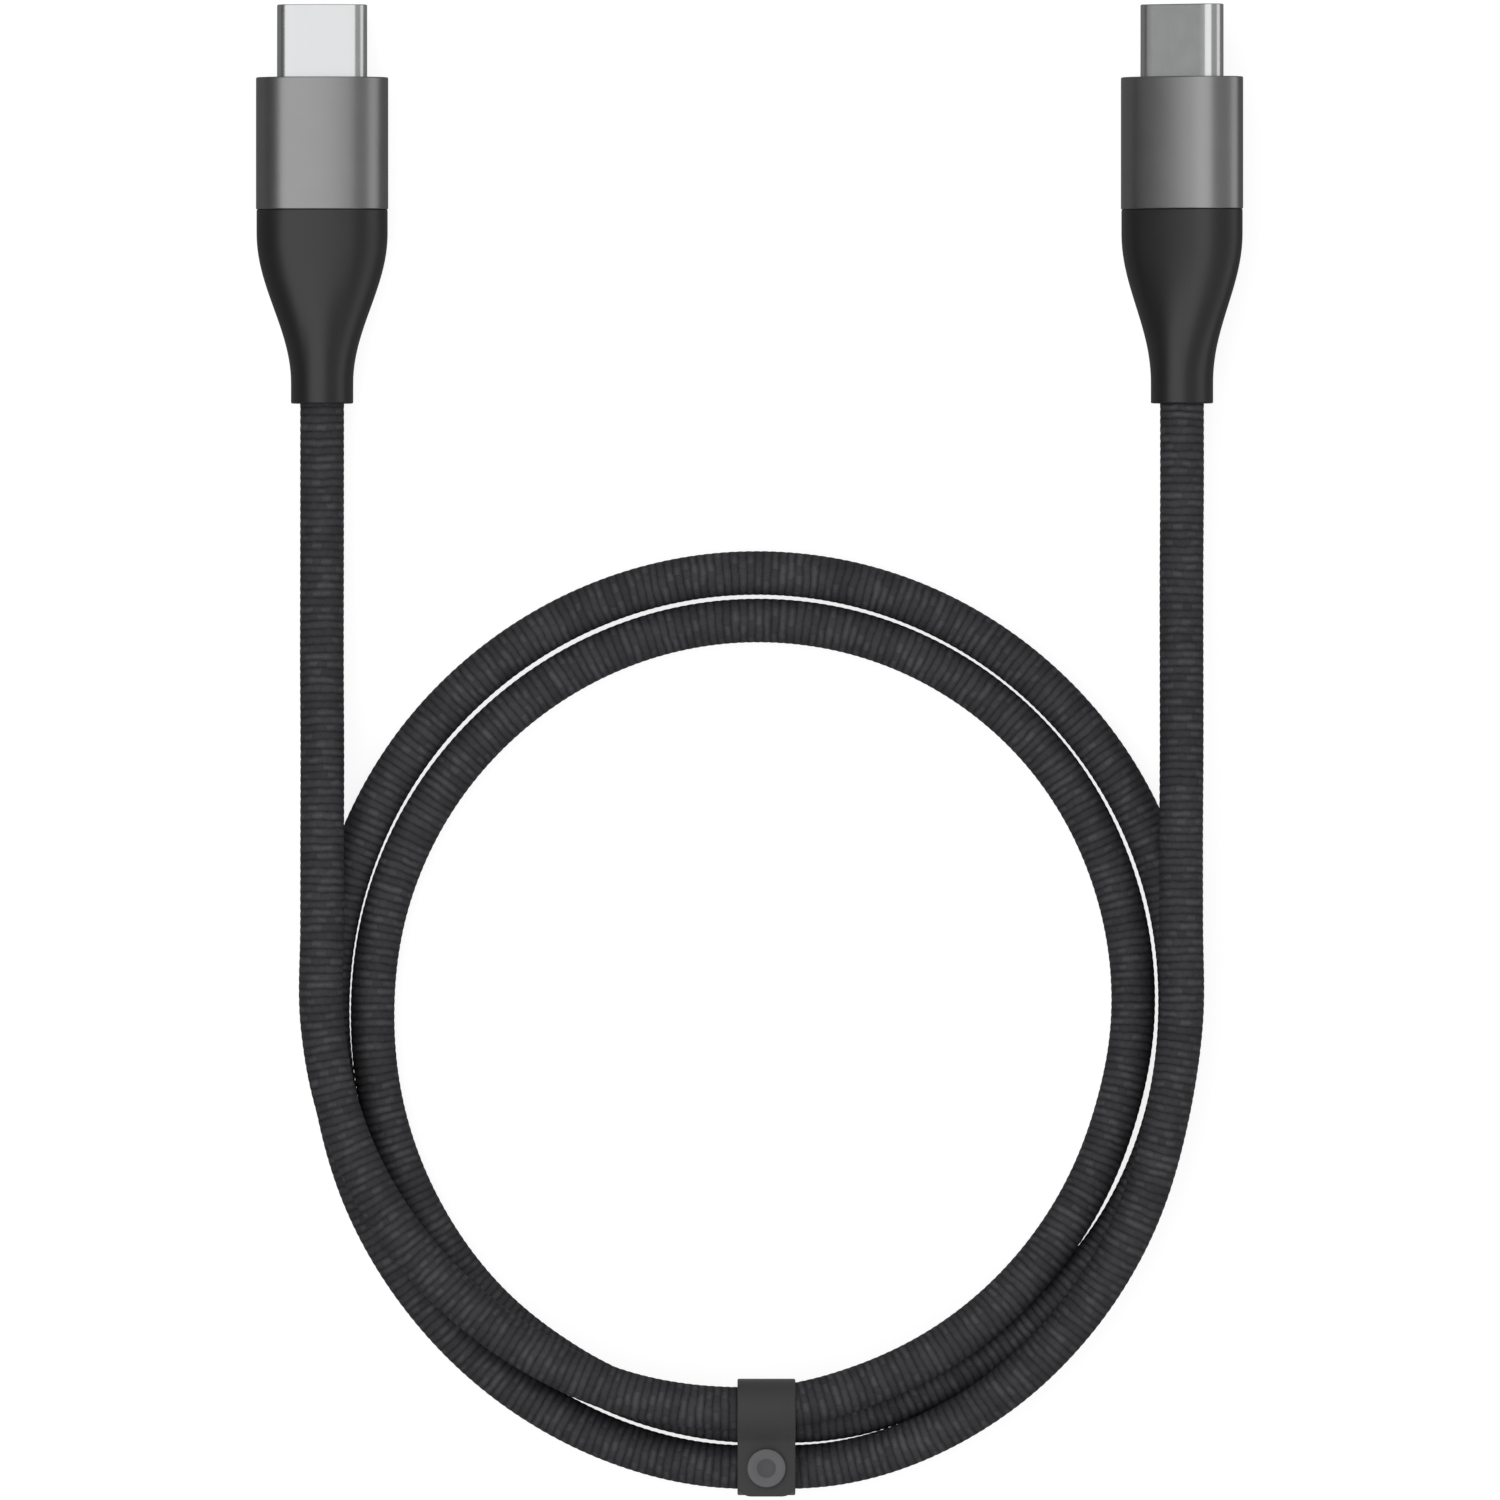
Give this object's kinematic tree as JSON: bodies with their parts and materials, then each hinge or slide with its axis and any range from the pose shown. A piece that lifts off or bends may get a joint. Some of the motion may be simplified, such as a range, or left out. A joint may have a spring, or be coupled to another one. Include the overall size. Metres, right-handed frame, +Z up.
{
  "type": "charging cable",
  "caption": "Coiled woven charging cable with a flat reversible plug at each end, metal sleeves, tapered strain reliefs and a strap with a press stud.",
  "frame": {"origin": "on the table, under the middle of the cable as it lies: halfway across the plugs, and halfway between the plug tips and the strap's outer end", "axes": "+Z up from the table, +Y along the plugs towards their tips, +X to the right seen from above, so plug A is on -X and plug B on +X"},
  "size_m": [0.0904, 0.1364, 0.0091],
  "materials": {
    "woven_cord": "tight charcoal nylon weave with fine ribs across the cord",
    "strap_silicone": "matte dark grey silicone",
    "snap_cap_plastic": "satin grey",
    "snap_plastic": "satin dark grey",
    "plug_steel": "bright nickel plate",
    "black_resin": "black moulding resin",
    "dark_resin": "dark moulding resin",
    "gold_contact": "gold flash",
    "spring_steel": "bright spring steel",
    "board_laminate": "green solder mask",
    "ceramic": "fired ceramic",
    "tinned_steel": "tin plate",
    "crimp_brass": "tinned brass",
    "cream_mold": "translucent cream moulding",
    "sleeve_aluminium": "gunmetal anodised, satin",
    "relief_rubber": "satin charcoal elastomer",
    "inner_jacket": "dark elastomer",
    "tinned_braid": "tinned copper braid",
    "red_wire": "red insulation",
    "black_wire": "black insulation",
    "blue_wire": "blue insulation",
    "green_wire": "green insulation",
    "white_wire": "white insulation"
  },
  "bodies": {
    "cable": {"cable_coil": "woven_cord", "cable_lead_a": "woven_cord", "cable_lead_b": "woven_cord", "strap_band": "strap_silicone", "snap_stud": "snap_plastic", "snap_post": "snap_plastic", "plug_a_shell": "plug_steel", "plug_a_contact_block": "black_resin", "plug_a_upper_wafer": "dark_resin", "plug_a_lower_wafer": "dark_resin", "plug_a_upper_contacts": "gold_contact", "plug_a_lower_contacts": "gold_contact", "plug_a_latch_plate": "spring_steel", "plug_a_ground_springs": "spring_steel", "plug_a_circuit_board": "board_laminate", "plug_a_marker_chip": "black_resin", "plug_a_capacitors": "ceramic", "plug_a_upper_can": "tinned_steel", "plug_a_lower_can": "tinned_steel", "plug_a_crimp_ring": "crimp_brass", "plug_a_inner_mold": "cream_mold", "plug_a_sleeve": "sleeve_aluminium", "plug_a_strain_relief": "relief_rubber", "plug_a_cable_jacket": "inner_jacket", "plug_a_cable_braid": "tinned_braid", "plug_a_power_wire": "red_wire", "plug_a_ground_wire": "black_wire", "plug_a_control_wire": "blue_wire", "plug_a_green_data_wire": "green_wire", "plug_a_white_data_wire": "white_wire", "plug_b_shell": "plug_steel", "plug_b_contact_block": "black_resin", "plug_b_upper_wafer": "dark_resin", "plug_b_lower_wafer": "dark_resin", "plug_b_upper_contacts": "gold_contact", "plug_b_lower_contacts": "gold_contact", "plug_b_latch_plate": "spring_steel", "plug_b_ground_springs": "spring_steel", "plug_b_circuit_board": "board_laminate", "plug_b_marker_chip": "black_resin", "plug_b_capacitors": "ceramic", "plug_b_upper_can": "tinned_steel", "plug_b_lower_can": "tinned_steel", "plug_b_crimp_ring": "crimp_brass", "plug_b_inner_mold": "cream_mold", "plug_b_sleeve": "sleeve_aluminium", "plug_b_strain_relief": "relief_rubber", "plug_b_cable_jacket": "inner_jacket", "plug_b_cable_braid": "tinned_braid", "plug_b_power_wire": "red_wire", "plug_b_ground_wire": "black_wire", "plug_b_control_wire": "blue_wire", "plug_b_green_data_wire": "green_wire", "plug_b_white_data_wire": "white_wire"},
    "strap_flap": {"strap_flap": "strap_silicone", "snap_cap": "snap_cap_plastic", "snap_socket": "snap_plastic"}
  },
  "joints": [
    {"name": "strap_hinge", "type": "hinge", "parent": "cable", "child": "strap_flap", "pos_m": [0.0015, -0.0575, 0.0065], "axis": [-1, 0, 0], "range_deg": [0, 170]}
  ]
}
